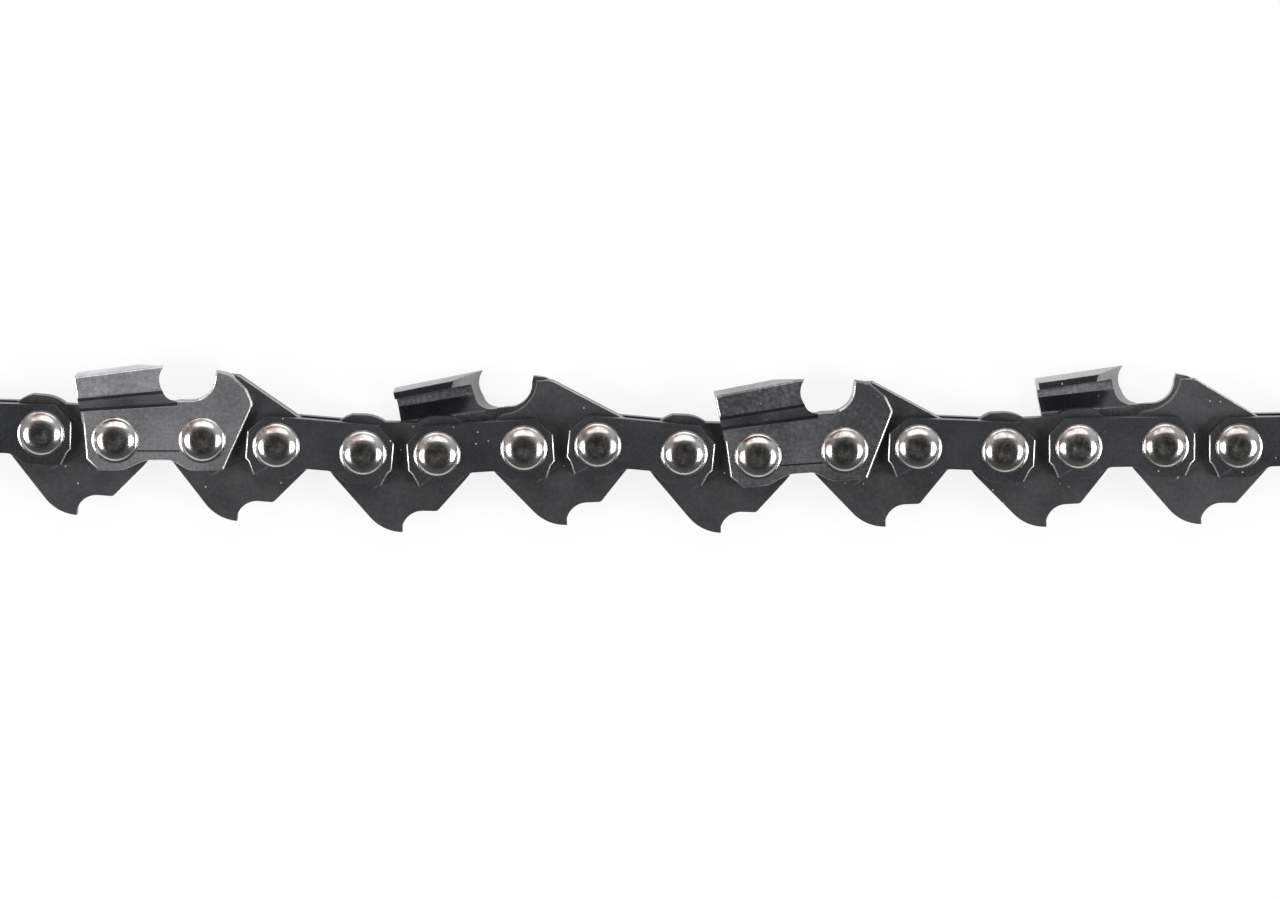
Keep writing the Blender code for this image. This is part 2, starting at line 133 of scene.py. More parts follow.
# %% [markdown]
# Polished and blued steel show what stands round them more than their own colour. Two oval soft boxes to
# the left and right give the rivet heads their two bright crescents and the sheared ends their white
# lines. A wide, weak one beyond the cutters lights the top plates. The room itself is bright beyond the
# cutters and dark behind the tangs, and it darkens overhead, where the camera is, so that the flat plates
# stay dark.

# %% Light
SIDE_BOX_SIZE, SIDE_BOX_WATTS = (0.40, 0.46), 4.0
CUTTER_BOX_SIZE, CUTTER_BOX_WATTS = (1.10, 0.50), 2.1


def soft_box(name, place, aim_at, size, watts):
    lamp = bpy.data.objects.new(name, bpy.data.lights.new(name, "AREA"))
    scene.collection.objects.link(lamp)
    lamp.data.shape = "ELLIPSE"
    lamp.data.size, lamp.data.size_y = size
    lamp.data.energy = watts
    lamp.location = place
    lamp.rotation_euler = (Vector(place) - Vector(aim_at)).to_track_quat("Z", "Y").to_euler()


soft_box("left_box", (-0.53, -0.10, 0.43), (0, 0, 0.25), SIDE_BOX_SIZE, SIDE_BOX_WATTS)
soft_box("right_box", (0.53, -0.10, 0.43), (0, 0, 0.25), SIDE_BOX_SIZE, SIDE_BOX_WATTS)
soft_box("cutter_box", (0.0, 0.60, 0.42), (0, 0, 0), CUTTER_BOX_SIZE, CUTTER_BOX_WATTS)

world = bpy.data.worlds.new("studio")
scene.world = world
world.use_nodes = True
sky = world.node_tree.nodes
wires = world.node_tree.links


def sky_band(axis, start, end, at_start, at_end):
    """A part of the room's light that changes along one direction."""
    band = sky.new("ShaderNodeMapRange")
    band.inputs["From Min"].default_value = start
    band.inputs["From Max"].default_value = end
    band.inputs["To Min"].default_value = at_start
    band.inputs["To Max"].default_value = at_end
    wires.new(split.outputs[axis], band.inputs["Value"])
    return band.outputs["Result"]


direction = sky.new("ShaderNodeTexCoord")
split = sky.new("ShaderNodeSeparateXYZ")
total = sky.new("ShaderNodeMath")
total.operation = "MULTIPLY"
wires.new(direction.outputs["Generated"], split.inputs[0])
wires.new(sky_band("Z", 0.45, 0.95, 1.0, 0.40), total.inputs[0])
wires.new(sky_band("Y", -0.40, 0.85, 0.10, 0.80), total.inputs[1])
wires.new(total.outputs[0], sky["Background"].inputs["Strength"])
sky["Background"].inputs["Color"].default_value = (1, 1, 1, 1)

# %% [markdown]
# The card under the chain is white, and everything that looks at it, the camera as well as the polished
# steel, sees it white. A part of it stays ordinary paint, so that the chain's soft shadow shows.

# %% Two small helpers that wire number nodes
def wire_range(nodes, links, source, low, high, to_low, to_high):
    band = nodes.new("ShaderNodeMapRange")
    for name, value in (("From Min", low), ("From Max", high), ("To Min", to_low), ("To Max", to_high)):
        band.inputs[name].default_value = value
    links.new(source, band.inputs["Value"])
    return band.outputs["Result"]


def wire_math(nodes, links, operation, first, second):
    result = nodes.new("ShaderNodeMath")
    result.operation = operation
    result.use_clamp = True
    links.new(first, result.inputs[0])
    links.new(second, result.inputs[1])
    return result.outputs[0]


# %% Floor
FLOOR_SIZE, FLOOR_GAP = 4.0, 0.05 * mm
WHITE_SHARE = 0.86
bpy.ops.object.select_all(action="DESELECT")
bpy.ops.mesh.primitive_plane_add(size=FLOOR_SIZE, location=(0, 0, cad_box[0].z - FLOOR_GAP))
floor = bpy.context.object
floor.name = "floor"
card = bpy.data.materials.new("white_card")
card.use_nodes = True
nodes, links = card.node_tree.nodes, card.node_tree.links
card_face = nodes["Principled BSDF"]
card_face.inputs["Base Color"].default_value = (0.90, 0.90, 0.90, 1)
card_face.inputs["Roughness"].default_value = 0.9
card_face.inputs["Specular IOR Level"].default_value = 0.1
glow = nodes.new("ShaderNodeEmission")
glow.inputs["Strength"].default_value = 1.0
seen = nodes.new("ShaderNodeLightPath")
share = nodes.new("ShaderNodeMath")
share.operation = "MULTIPLY"
share.inputs[1].default_value = WHITE_SHARE
mix = nodes.new("ShaderNodeMixShader")
in_sight = wire_math(nodes, links, "MAXIMUM", seen.outputs["Is Camera Ray"], seen.outputs["Is Glossy Ray"])
in_sight = wire_math(nodes, links, "MAXIMUM", in_sight, seen.outputs["Is Transmission Ray"])
links.new(in_sight, share.inputs[0])
links.new(share.outputs[0], mix.inputs["Fac"])
links.new(card_face.outputs[0], mix.inputs[1])
links.new(glow.outputs[0], mix.inputs[2])
links.new(mix.outputs[0], nodes["Material Output"].inputs["Surface"])
floor.data.materials.append(card)
floor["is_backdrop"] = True
print("floor at", round(floor.location.z / mm, 2), "mm")

# %% [markdown]
# ## Steel finishes
#
# All of it is steel, but no two kinds of piece are finished alike. The drive links and the straps are
# blued: a thin dark oxide, half gloss, with dust, fine scratches and a slightly uneven colour. The
# cutters have a grey plating that is lighter and cloudier. Where a file has been, bare steel shows. Where
# an edge was sheared or rubbed it gets a bright bare finish, which is bare steel and also a painted
# highlight where the edge catches the light. The cutter's kicked bends, the free edge of its top and its
# groove are painted dark as shade, and the flat of its kick a lighter painted shade. The rivet heads are
# spun, which polishes them in rings.
#
# One recipe makes them all: a cloudy noise for the colour, a fine one for roughness and grain, a
# stretched one for scratches, and small round cells for specks. The scratches follow each piece's own
# coordinates, which it keeps in an attribute called local. Each piece also carries a number called tone,
# which makes it a little lighter or darker than others of its finish. The scale of a pattern says about
# how many of its spots fit side by side in one metre.

# %% The recipe for a steel finish
GRAIN_SCALE, BLOTCH_SCALE = 4200, 2300
SCRATCH_SCALE, SPECK_SCALE = 900, 900
SCRATCH_STRETCH = (9, 1, 1)
DENT_DEPTH = 0.02 * mm


def wire_noise(nodes, links, source, scale, detail, stretch=None, turn=0):
    noise = nodes.new("ShaderNodeTexNoise")
    noise.inputs["Scale"].default_value = scale
    noise.inputs["Detail"].default_value = detail
    if stretch:
        squeeze = nodes.new("ShaderNodeMapping")
        squeeze.vector_type = "TEXTURE"
        squeeze.inputs["Scale"].default_value = stretch
        squeeze.inputs["Rotation"].default_value = (0, 0, math.radians(turn))
        links.new(source, squeeze.inputs["Vector"])
        source = squeeze.outputs["Vector"]
    links.new(source, noise.inputs["Vector"])
    return noise


def wire_mix(nodes, links, share, first, second):
    blend = nodes.new("ShaderNodeMix")
    blend.data_type = "RGBA"
    links.new(share, blend.inputs["Factor"])
    for socket, value in ((blend.inputs[6], first), (blend.inputs[7], second)):
        if isinstance(value, tuple):
            socket.default_value = (*value, 1)
        else:
            links.new(value, socket)
    return blend.outputs[2]


def steel(name, dark, light, speck, metallic, gloss, mottle=0.2, patch=260, bump=0.25, turn=35):
    """A steel finish: dark and light are its cloudy colours, and gloss its roughness low and high."""
    made = bpy.data.materials.new(name)
    made.use_nodes = True
    nodes, links = made.node_tree.nodes, made.node_tree.links
    shader = nodes["Principled BSDF"]
    shader.inputs["Metallic"].default_value = metallic
    place = nodes.new("ShaderNodeTexCoord").outputs["Object"]
    local = nodes.new("ShaderNodeAttribute")
    local.attribute_name = "local"
    tone = nodes.new("ShaderNodeAttribute")
    tone.attribute_name = "tone"

    clouds = wire_noise(nodes, links, place, patch, 5)
    cloud = wire_range(nodes, links, clouds.outputs["Fac"], 0.35, 0.68, 0.0, 0.45)
    grain = wire_noise(nodes, links, place, GRAIN_SCALE, 8)
    blotch = wire_noise(nodes, links, place, BLOTCH_SCALE, 3)
    speckle = wire_range(nodes, links, blotch.outputs["Fac"], 0.40, 0.70, 0.0, mottle)
    cloud = wire_math(nodes, links, "ADD", cloud, speckle)
    cloud = wire_math(nodes, links, "ADD", cloud, tone.outputs["Fac"])
    colour = wire_mix(nodes, links, cloud, dark, light)

    strokes = wire_noise(nodes, links, local.outputs["Vector"], SCRATCH_SCALE, 2, SCRATCH_STRETCH, turn)
    scratch = wire_range(nodes, links, strokes.outputs["Fac"], 0.70, 0.78, 0.0, 0.22)
    cells = nodes.new("ShaderNodeTexVoronoi")
    cells.inputs["Scale"].default_value = SPECK_SCALE
    links.new(place, cells.inputs["Vector"])
    near = wire_range(nodes, links, cells.outputs["Distance"], 0.04, 0.09, 1.0, 0.0)
    channels = nodes.new("ShaderNodeSeparateColor")
    links.new(cells.outputs["Color"], channels.inputs[0])
    chosen = wire_range(nodes, links, channels.outputs[0], 0.60, 0.66, 0.0, 0.9)
    dust = wire_math(nodes, links, "MULTIPLY", near, chosen)
    marks = wire_math(nodes, links, "MAXIMUM", scratch, dust)
    links.new(wire_mix(nodes, links, marks, colour, speck), shader.inputs["Base Color"])

    rough = wire_range(nodes, links, grain.outputs["Fac"], 0.3, 0.7, gloss[0], gloss[1])
    links.new(rough, shader.inputs["Roughness"])
    dents = nodes.new("ShaderNodeBump")
    dents.inputs["Strength"].default_value = bump
    dents.inputs["Distance"].default_value = DENT_DEPTH
    links.new(grain.outputs["Fac"], dents.inputs["Height"])
    links.new(dents.outputs["Normal"], shader.inputs["Normal"])
    return made


# %% The finishes
PALE = (0.75, 0.75, 0.74)
blued_link = steel(
    "blued_link", (0.040, 0.040, 0.043), (0.086, 0.085, 0.090), PALE, 0.4, (0.28, 0.42), mottle=0.3,
)
blued_strap = steel(
    "blued_strap", (0.025, 0.026, 0.029), (0.060, 0.061, 0.067), PALE, 0.4, (0.24, 0.36), mottle=0.3,
)
plated = steel(
    "plated_cutter", (0.13, 0.13, 0.14), (0.46, 0.46, 0.48), PALE, 0.8, (0.22, 0.34),
    mottle=0.3, patch=190, bump=0.15,
)
tooth_side = steel(
    "tooth_side", (0.12, 0.12, 0.13), (0.70, 0.70, 0.73), PALE, 0.8, (0.24, 0.36), mottle=0.25, patch=150,
)
# Painted shade: the kicked bends, the free edge of the cutter's top and its coined groove are painted this
# dark.
painted_shade = steel("painted_shade_steel", (0.020, 0.020, 0.024), (0.050, 0.050, 0.056), PALE, 0.5, (0.22, 0.34))
# A lighter painted shade for the flat outside of the kick.
painted_half_shade = steel("half_shade_steel", (0.046, 0.048, 0.057), (0.135, 0.138, 0.152), PALE, 0.5, (0.22, 0.34))
filed = steel("filed_steel", (0.20, 0.20, 0.205), (0.36, 0.36, 0.37), PALE, 0.95, (0.25, 0.40), turn=0)
# Bare steel, used also as a painted highlight on edges that catch the lamps.
bare_and_highlight = steel(
    "bare_and_highlight_edge", (0.60, 0.60, 0.60), (0.85, 0.85, 0.84), PALE, 0.95, (0.22, 0.38), patch=700,
)
print([material.name for material in bpy.data.materials])

# %% [markdown]
# The rivet's finish is laid out on the rivet itself: fine rings from the spinning tool, a dark crown with
# lighter scuffs, where the dark room overhead is painted in as a reflection, and a brown stain on one side
# of it. The material measures the distance from the rivet's own axis on the attribute called local.

# %% The finish of a spun rivet head
CROWN, CROWN_FADE, CROWN_WOBBLE = 1.05 * mm, 0.4 * mm, 0.2 * mm
STAIN_TOWARD, STAIN_START, STAIN_FULL = (-0.6, 0.8, 0), 0.3 * mm, 1.7 * mm
WOBBLE_SCALE, STAIN_SCALE, SCUFF_SCALE = 1100, 1000, 2600
RING_PACE, RING_STRENGTH, RING_DEPTH = 52000, 0.03, 0.01 * mm
spun = steel("spun_rivet", (0.46, 0.45, 0.44), (0.74, 0.73, 0.72), PALE, 1.0, (0.14, 0.24), bump=0.12)
nodes, links = spun.node_tree.nodes, spun.node_tree.links
shader = nodes["Principled BSDF"]
place = nodes["Texture Coordinate"].outputs["Object"]
local = nodes["Attribute"].outputs["Vector"]
flatten = nodes.new("ShaderNodeVectorMath")
flatten.operation = "MULTIPLY"
flatten.inputs[1].default_value = (1, 1, 0)
links.new(local, flatten.inputs[0])
radius = nodes.new("ShaderNodeVectorMath")
radius.operation = "LENGTH"
links.new(flatten.outputs[0], radius.inputs[0])
wobble = wire_noise(nodes, links, place, WOBBLE_SCALE, 4)
shift = wire_range(nodes, links, wobble.outputs["Fac"], 0.3, 0.7, -CROWN_WOBBLE, CROWN_WOBBLE)
uneven = nodes.new("ShaderNodeMath")
uneven.operation = "ADD"
links.new(radius.outputs["Value"], uneven.inputs[0])
links.new(shift, uneven.inputs[1])
# Painted reflection: the crown is darkened as the dark room overhead would show in it.
painted_reflection_mask = wire_range(nodes, links, uneven.outputs[0], CROWN, CROWN + CROWN_FADE, 0.62, 0.0)

side = nodes.new("ShaderNodeVectorMath")
side.operation = "DOT_PRODUCT"
side.inputs[1].default_value = STAIN_TOWARD
links.new(local, side.inputs[0])
stain_side = wire_range(nodes, links, side.outputs["Value"], STAIN_START, STAIN_FULL, 0.0, 1.0)
stain_noise = wire_noise(nodes, links, place, STAIN_SCALE, 5)
stain = wire_range(nodes, links, stain_noise.outputs["Fac"], 0.42, 0.62, 0.0, 0.75)
stain = wire_math(nodes, links, "MULTIPLY", stain, stain_side)
polished = shader.inputs["Base Color"].links[0].from_socket
scuff_noise = wire_noise(nodes, links, place, SCUFF_SCALE, 5)
scuff = wire_range(nodes, links, scuff_noise.outputs["Fac"], 0.45, 0.62, 0.0, 1.0)
# The crown's painted dark reflection, with lighter scuffs in it.
reflection_and_scuff_colour = wire_mix(nodes, links, scuff, (0.07, 0.067, 0.065), (0.42, 0.38, 0.36))
darker = wire_mix(nodes, links, painted_reflection_mask, polished, reflection_and_scuff_colour)
links.new(wire_mix(nodes, links, stain, darker, (0.20, 0.11, 0.09)), shader.inputs["Base Color"])

pace = nodes.new("ShaderNodeMath")
pace.operation = "MULTIPLY"
pace.inputs[1].default_value = RING_PACE
rings = nodes.new("ShaderNodeMath")
rings.operation = "SINE"
links.new(radius.outputs["Value"], pace.inputs[0])
links.new(pace.outputs[0], rings.inputs[0])
lathe = nodes.new("ShaderNodeBump")
lathe.inputs["Strength"].default_value = RING_STRENGTH
lathe.inputs["Distance"].default_value = RING_DEPTH
links.new(rings.outputs[0], lathe.inputs["Height"])
links.new(shader.inputs["Normal"].links[0].from_socket, lathe.inputs["Normal"])
links.new(lathe.outputs["Normal"], shader.inputs["Normal"])
print("spun finish has", len(nodes), "nodes")

# %% [markdown]
# ## Drawing with a pen
#
# Every flat piece of a chain is stamped from sheet, so it is modelled the way the die is drawn: one point
# is pulled along from corner to corner, the outline is filled, and the face is pulled up by the thickness
# of the sheet. Arcs are only many short pulls. The holes come last, so that the small bevel of the edges
# never has to run round them.

# %% Points on lines and arcs
def arc(centre, radius, start, end, steps):
    """Points on an arc, with its two ends. Angles are in degrees."""
    turns = [math.radians(start + (end - start) * i / steps) for i in range(steps + 1)]
    return [(centre[0] + radius * math.cos(t), centre[1] + radius * math.sin(t)) for t in turns]


def slope(start, end, steps):
    """A smooth rise that leaves and arrives level."""
    rows = []
    for i in range(steps + 1):
        share = i / steps
        lift = (1 - math.cos(math.pi * share)) / 2
        rows.append((start[0] + (end[0] - start[0]) * share, start[1] + (end[1] - start[1]) * lift))
    return rows


def soften(before, corner, after, radius, steps=5):
    """A corner rounded between its neighbours."""
    here = Vector(corner)
    back, ahead = Vector(before) - here, Vector(after) - here
    reach = min(radius / math.tan(back.angle(ahead) / 2), 0.45 * back.length, 0.45 * ahead.length)
    start, end = here + back.normalized() * reach, here + ahead.normalized() * reach
    shares = [i / steps for i in range(steps + 1)]
    return [tuple(start.lerp(here, s).lerp(here.lerp(end, s), s)) for s in shares]


def mirror_front(half, spacing):
    """The other half of an outline that is the same in front as behind."""
    return half + [(spacing - x, y) for x, y in reversed(half)]


# %% The pen and the small tools
SLACK = 0.01 * mm
DRILL_SIDES, DRILL_LENGTH = 64, 20 * mm
BARE_HIGHLIGHT_INDEX = 1


def nothing_selected():
    if bpy.context.mode != "OBJECT":
        bpy.ops.object.mode_set(mode="OBJECT")
    bpy.ops.object.select_all(action="DESELECT")


def only(thing):
    nothing_selected()
    thing.select_set(True)
    bpy.context.view_layer.objects.active = thing


def trace(name, spots):
    """One point pulled from corner to corner, and left selected as an open outline in edit mode."""
    nothing_selected()
    bpy.ops.mesh.primitive_plane_add(size=mm)
    drawn = bpy.context.object
    drawn.name = name
    bpy.ops.object.mode_set(mode="EDIT")
    bpy.ops.mesh.select_mode(type="VERT")
    bpy.ops.mesh.merge(type="CENTER")
    spots = [Vector(spot) for spot in spots]
    bpy.ops.transform.translate(value=spots[0])
    for start, end in zip(spots, spots[1:]):
        bpy.ops.mesh.extrude_region_move(TRANSFORM_OT_translate={"value": end - start})
    bpy.ops.mesh.select_all(action="SELECT")
    return drawn


def stamp(name, points, low, high):
    """A plate: the outline is drawn at one height, filled and pulled up to the other."""
    plate = trace(name, [(x, y, low) for x, y in points])
    bpy.ops.mesh.edge_face_add()
    bpy.ops.mesh.extrude_region_move(TRANSFORM_OT_translate={"value": (0, 0, high - low)})
    bpy.ops.mesh.select_all(action="SELECT")
    bpy.ops.mesh.normals_make_consistent(inside=False)
    bpy.ops.object.mode_set(mode="OBJECT")
    return plate


def apply_all(thing):
    only(thing)
    for modifier in list(thing.modifiers):
        bpy.ops.object.modifier_apply(modifier=modifier.name)


def cut(thing, tool, operation="DIFFERENCE"):
    """Cut a tool out of a piece, or join it on, and throw the tool away."""
    change = thing.modifiers.new("cut", "BOOLEAN")
    change.operation = operation
    change.solver = "EXACT"
    change.material_mode = "TRANSFER"
    change.object = tool
    apply_all(thing)
    bpy.data.objects.remove(tool, do_unlink=True)


def drill(thing, x, radius):
    nothing_selected()
    bpy.ops.mesh.primitive_cylinder_add(
        vertices=DRILL_SIDES, radius=radius, depth=DRILL_LENGTH, location=(x, 0, 0),
    )
    drill_bit = bpy.context.object
    drill_bit.data.materials.append(thing.data.materials[0])
    cut(thing, drill_bit)


def pick(thing, wanted, kind="VERT"):
    """Go to edit mode with only the vertices, or the edges, that pass the test selected."""
    only(thing)
    bpy.ops.object.mode_set(mode="EDIT")
    bpy.ops.mesh.select_mode(type=kind)
    bpy.ops.mesh.select_all(action="DESELECT")
    bpy.ops.object.mode_set(mode="OBJECT")
    for part in thing.data.vertices if kind == "VERT" else thing.data.edges:
        part.select = wanted(part)
    bpy.ops.object.mode_set(mode="EDIT")


def ease_edges(thing, wanted, width, bare_highlight, segments):
    """Bevel the edges that pass one test, and give the slanting faces that pass another the finish of
    uncoated steel, which is partly a painted highlight.
    """
    spots = thing.data.vertices
    pick(thing, lambda edge: all(wanted(spots[i].co) for i in edge.vertices), "EDGE")
    before = len(thing.data.polygons)
    bpy.ops.mesh.bevel(offset=width, segments=segments, affect="EDGES")
    bpy.ops.object.mode_set(mode="OBJECT")
    for face in thing.data.polygons:
        if 0.1 < abs(face.normal.z) < 0.99 and bare_highlight(face.center):
            face.material_index = BARE_HIGHLIGHT_INDEX
    print(thing.name, "bevel made", len(thing.data.polygons) - before, "faces")


def finish(thing, smooth=35):
    """Shade it, with the wide faces kept flat, take its mesh, and leave only that."""
    only(thing)
    bpy.ops.object.shade_smooth_by_angle(angle=math.radians(smooth))
    flat = thing.modifiers.new("flat", "WEIGHTED_NORMAL")
    flat.keep_sharp = True
    apply_all(thing)
    mesh = thing.data
    mesh.name = thing.name
    bpy.data.objects.remove(thing, do_unlink=True)
    print(mesh.name, len(mesh.polygons), "faces")
    return mesh


# %% [markdown]
# ## Rivet
#
# A rivet is turned: a thick flange in the middle that the drive link turns on, a thinner hub through each
# strap, and two heads that are spun over the straps. Half of its profile is drawn from the axis outward,
# and the Spin tool sweeps it round. Spin leaves a seam, so the doubles are merged and the faces turned
# outward. The head has a thin flat rim, a full rounded shoulder and a shallow hollow on top.

# %% Model the rivet
HEAD_TOP, HEAD_SEAT, FLANGE_FACE = 2.94 * mm, 2.19 * mm, 0.85 * mm
HEAD_RADIUS, HUB_RADIUS, FLANGE_RADIUS = 2.4 * mm, 1.8 * mm, 2.5 * mm
HOLLOW_DEPTH, TOP_RING = 0.08 * mm, 0.9 * mm
SHOULDER_FOOT, RIM_HEIGHT, RIM_ROUND = 2.24 * mm, 0.06 * mm, 0.03 * mm
SHOULDER_DROP, SHOULDER_STEPS, SHOULDER_POWER = 0.68 * mm, 10, 2.3
SPIN_STEPS, SEAM_WIDTH = 56, 0.002 * mm
profile = slope((0.0, HEAD_TOP - HOLLOW_DEPTH), (TOP_RING, HEAD_TOP), 4)
for i in range(1, SHOULDER_STEPS + 1):
    share = i / SHOULDER_STEPS
    drop = SHOULDER_DROP * share ** SHOULDER_POWER
    profile += [(TOP_RING + (SHOULDER_FOOT - TOP_RING) * share, HEAD_TOP - drop)]
rim = (HEAD_RADIUS, HEAD_SEAT + RIM_HEIGHT)
profile += soften(profile[-1], rim, (HEAD_RADIUS, HEAD_SEAT), RIM_ROUND, 3)
profile += [(HEAD_RADIUS, HEAD_SEAT), (HUB_RADIUS, HEAD_SEAT)]
profile += [(HUB_RADIUS, FLANGE_FACE), (FLANGE_RADIUS, FLANGE_FACE)]
profile += [(r, -z) for r, z in reversed(profile)]
rivet = trace("rivet", [(r, 0, z) for r, z in profile])
bpy.ops.mesh.spin(steps=SPIN_STEPS, angle=math.tau, center=(0, 0, 0), axis=(0, 0, 1))
bpy.ops.mesh.select_all(action="SELECT")
bpy.ops.mesh.remove_doubles(threshold=SEAM_WIDTH)
bpy.ops.mesh.normals_make_consistent(inside=False)
bpy.ops.object.mode_set(mode="OBJECT")
rivet.data.materials.append(spun)
rivet_mesh = finish(rivet, smooth=50)

# %% [markdown]
# ## Tie strap
#
# The strap is a plate with angular ends, a long straight back and a hollow between its two feet. Its
# outer face is coined: along the back a narrow strip stands a hair lower, which shows as one faint line.
# All edges of the outer face get one small bevel. Only at the upright ends and at the lower corners do
# its faces take the bare finish: bare steel, and a painted highlight where these bevels catch the light.

# %% Model the tie strap
STRAP_IN, STRAP_OUT = 0.87 * mm, 2.17 * mm
STRAP_END, STRAP_HOLE, STRAP_BEVEL = 3.0925 * mm, 1.82 * mm, 0.16 * mm
FOOT, WAIST = -3.2 * mm, -2.13 * mm
strap_half = [(1.75 * mm - STRAP_END, 3.0 * mm), (-STRAP_END, 1.3 * mm), (-STRAP_END, -1.5 * mm)]
strap_half += [(0.4 * mm - STRAP_END, -1.9 * mm), (-2.1 * mm, FOOT)]
strap_half += slope((1.2 * mm, FOOT), (3.5 * mm, WAIST), 8)
strap = stamp("tie_strap", mirror_front(strap_half, STRAP_SPACING), STRAP_IN, STRAP_OUT)
strap.data.materials.append(blued_strap)
strap.data.materials.append(bare_and_highlight)


def on_strap_end(spot):
    end = min(spot.x + STRAP_END, STRAP_SPACING + STRAP_END - spot.x)
    upright = end < 0.2 * mm and -1.5 * mm < spot.y < 1.3 * mm
    return upright or end < 0.9 * mm and -3.0 * mm < spot.y < -1.5 * mm


# The bare finish at the upright ends and lower corners is bare steel and a painted highlight.
ease_edges(strap, lambda spot: spot.z > STRAP_OUT - SLACK, STRAP_BEVEL, on_strap_end, 3)

# %% Coin the back of the strap
COIN_LOW, COIN_HIGH, COIN_DEPTH = 2.08 * mm, 2.24 * mm, 0.06 * mm
only(strap)
bpy.ops.object.mode_set(mode="EDIT")
for height in (COIN_LOW, COIN_HIGH):
    bpy.ops.mesh.select_all(action="SELECT")
    bpy.ops.mesh.bisect(plane_co=(0, height, 0), plane_no=(0, 1, 0))
bpy.ops.object.mode_set(mode="OBJECT")
pick(strap, lambda spot: spot.co.y > COIN_LOW + SLACK and spot.co.z > STRAP_OUT - 0.03 * mm)
bpy.ops.transform.translate(value=(0, 0, -COIN_DEPTH))
bpy.ops.object.mode_set(mode="OBJECT")
for x in (0.0, STRAP_SPACING):
    drill(strap, x, STRAP_HOLE)
strap_mesh = finish(strap)

# %% [markdown]
# ## Drive links
#
# A drive link has a round lobe about each rivet, and below them a pointed tang that runs in the groove of
# the guide bar. In front of its tip the tang is hollowed, so that it rakes chips out of the groove. Every
# second link also has a ramp in front of the depth gauge, which keeps the saw from grabbing. Both share
# the tang, so it is drawn by one function.

# %% The outline of the tang
LOBE = 4.0 * mm
REAR, FRONT = 48.0, 49.3
TANG_DEPTH, TANG_SHOULDER = 8.3 * mm, 6.05 * mm
TOE_ROUND, HOOK_ROUND, TIP_EDGE = 4.5 * mm, 2.15 * mm, 0.7 * mm
LINK_HALF, LINK_HOLE = 0.8 * mm, 2.545 * mm
LINK_BEVEL, BUMPER_BEVEL = 0.09 * mm, 0.11 * mm


def tang():
    rear, front = math.radians(REAR), math.radians(FRONT)
    level = TOE_ROUND - TANG_DEPTH
    tip = (TOE_ROUND - LOBE - level * math.cos(rear)) / math.sin(rear)
    toe = arc((tip, level), TOE_ROUND, 270 - REAR, 270, 9)
    rise = TIP_EDGE - TANG_DEPTH + TANG_SHOULDER + HOOK_ROUND
    hook_x = tip + math.sqrt(HOOK_ROUND ** 2 - rise ** 2)
    hook_start = 180 - math.degrees(math.asin(rise / HOOK_ROUND))
    hook = arc((hook_x, -TANG_SHOULDER - HOOK_ROUND), HOOK_ROUND, hook_start, 90, 9)
    heel_x = LINK_SPACING + (LOBE - TANG_SHOULDER * math.cos(front)) / math.sin(front)
    front_start = arc((LINK_SPACING, 0), LOBE, FRONT - 90, 0, 1)[0]
    return toe + hook + soften(hook[-1], (heel_x, -TANG_SHOULDER), front_start, 0.5 * mm, 4)


def lobe(x, start, end):
    return arc((x, 0), LOBE, start, end, 13)


# %% Model the plain drive link
LOBE_TOP, VALLEY = 3.8 * mm, 3.1 * mm
crest = math.degrees(math.asin(LOBE_TOP / LOBE))
dip = math.degrees(math.asin(VALLEY / LOBE_TOP))
outline = tang() + lobe(LINK_SPACING, FRONT - 90, crest)
outline += arc((LINK_SPACING, 0), LOBE_TOP, 90, 180 - dip, 6) + arc((0, 0), LOBE_TOP, dip, 90, 6)
outline += lobe(0, 180 - crest, 270 - REAR)
link = stamp("drive_link", outline, -LINK_HALF, LINK_HALF)
link.data.materials.append(blued_link)
ease_edges(link, lambda spot: spot.z > LINK_HALF - SLACK, LINK_BEVEL, lambda spot: False, 2)
for x in (0.0, LINK_SPACING):
    drill(link, x, LINK_HOLE)
link_mesh = finish(link)

# %% [markdown]
# The link with the ramp has the same tang. Its top is a long straight ramp, a short level crown and a
# hollow back edge, and the ramp's edge is rubbed bright by the wood.

# %% Model the bumper drive link
BUMPER_TOP = 6.75 * mm
BACK_ROUND = 3.6 * mm


def hollow(start, end, radius, steps):
    """An arc of a given radius from one point to another that bends inward."""
    a, b = Vector(start), Vector(end)
    half = (b - a) / 2
    side = Vector((half.y, -half.x)).normalized()
    centre = a + half + side * math.sqrt(radius ** 2 - half.length_squared)
    begin = math.atan2(a.y - centre.y, a.x - centre.x)
    sweep = (begin - math.atan2(b.y - centre.y, b.x - centre.x)) % math.tau
    return arc(centre, radius, math.degrees(begin), math.degrees(begin - sweep), steps)


rear_lobe = lobe(0, 120, 270 - REAR)
top_rear, top_front = (1.6 * mm, BUMPER_TOP), (3.2 * mm, BUMPER_TOP)
front_lobe = lobe(LINK_SPACING, FRONT - 90, 35)
outline = tang() + front_lobe + soften(front_lobe[-1], top_front, top_rear, 0.6 * mm, 4)
outline += hollow(top_rear, rear_lobe[0], BACK_ROUND, 12)[:-1] + rear_lobe
bumper = stamp("bumper_link", outline, -LINK_HALF, LINK_HALF)
bumper.data.materials.append(blued_link)
bumper.data.materials.append(bare_and_highlight)


def on_ramp(spot):
    slope_of = (BUMPER_TOP - front_lobe[-1][1]) / (top_front[0] - front_lobe[-1][0])
    off = abs(spot.y - BUMPER_TOP - slope_of * (spot.x - top_front[0]))
    return off < 0.3 * mm and spot.y > 2.2 * mm


ease_edges(bumper, lambda spot: spot.z > LINK_HALF - SLACK, BUMPER_BEVEL, on_ramp, 2)
for x in (0.0, LINK_SPACING):
    drill(bumper, x, LINK_HOLE)
bumper_mesh = finish(bumper)
